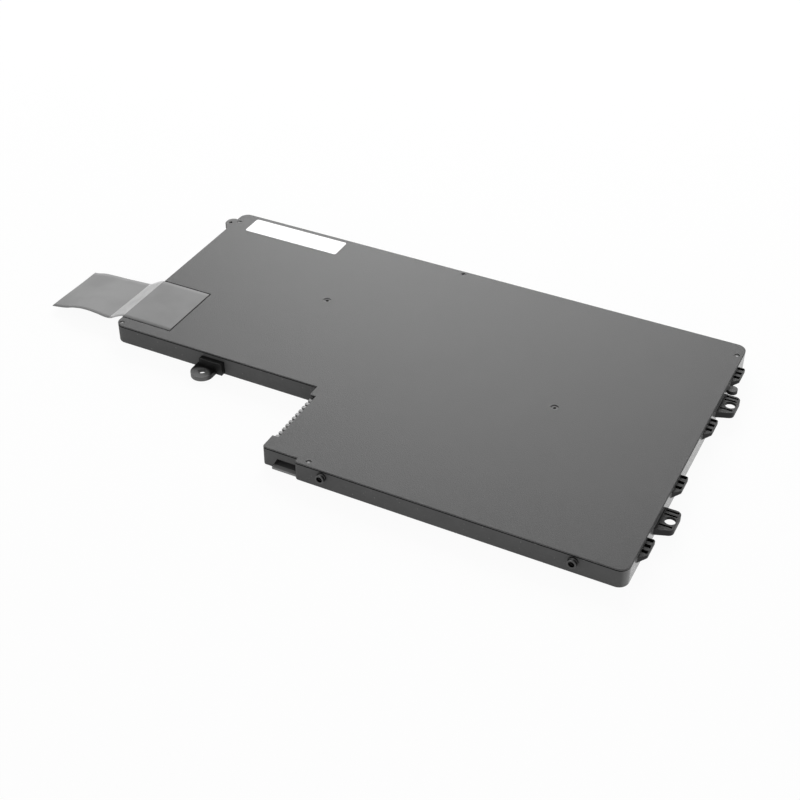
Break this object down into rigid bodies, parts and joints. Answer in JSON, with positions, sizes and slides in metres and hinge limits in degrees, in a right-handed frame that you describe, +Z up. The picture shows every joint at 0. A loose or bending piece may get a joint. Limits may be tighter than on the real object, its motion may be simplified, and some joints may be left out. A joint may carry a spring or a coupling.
{
  "type": "laptop battery",
  "caption": "Flat internal laptop battery: dark L-shaped plastic housing, thin cover, comb connector in the notch, screw ears and ribbed lugs on one side, round pegs and a grey pull film.",
  "frame": {"origin": "middle of the housing's flat underside, without its ears, lugs, pegs and film", "axes": "+X along the row of cells towards the screw ears, +Y away from the connector side, +Z up through the cover"},
  "size_m": [0.2842, 0.1494, 0.0086],
  "materials": {
    "housing": "fine matt grain, polished ears and pegs",
    "cover": "finely pitted matt",
    "connector": "moulded, satin",
    "contact": "thin gold plating",
    "board": "solder mask",
    "chip": "moulded",
    "ceramic": "fired ceramic",
    "amber_film": "smooth film",
    "pouch": "laminated foil",
    "nickel": "rolled strip",
    "aluminium_tab": "rolled strip",
    "tape": "double-sided tape",
    "foam": "closed-cell foam",
    "label": "smooth blank paper",
    "grey_film": "satin plastic film"
  },
  "bodies": {
    "root": {"lower_case": "housing", "upper_cover": "cover", "connector_housing": "connector", "protection_board": "board", "board_capacitors": "ceramic", "board_insulator": "amber_film", "fuel_gauge_chip": "chip", "protection_chip": "chip", "charge_switch": "chip", "discharge_switch": "chip", "chemical_fuse": "chip", "shunt_resistor": "nickel", "thermistor": "ceramic", "pack_negative_strip": "nickel", "series_strip_1": "nickel", "series_strip_2": "nickel", "pack_positive_strip": "nickel", "white_label": "label", "pull_tab": "grey_film", "connector_contact_01": "contact", "connector_contact_02": "contact", "connector_contact_03": "contact", "connector_contact_04": "contact", "connector_contact_05": "contact", "connector_contact_06": "contact", "connector_contact_07": "contact", "connector_contact_08": "contact", "connector_contact_09": "contact", "connector_contact_10": "contact", "cell_1": "pouch", "cell_1_negative_tab": "nickel", "cell_1_positive_tab": "aluminium_tab", "cell_tape_1": "tape", "cell_foam_1": "foam", "cell_2": "pouch", "cell_2_negative_tab": "nickel", "cell_2_positive_tab": "aluminium_tab", "cell_tape_2": "tape", "cell_foam_2": "foam", "cell_3": "pouch", "cell_3_negative_tab": "nickel", "cell_3_positive_tab": "aluminium_tab", "cell_tape_3": "tape", "cell_foam_3": "foam"}
  },
  "joints": []
}
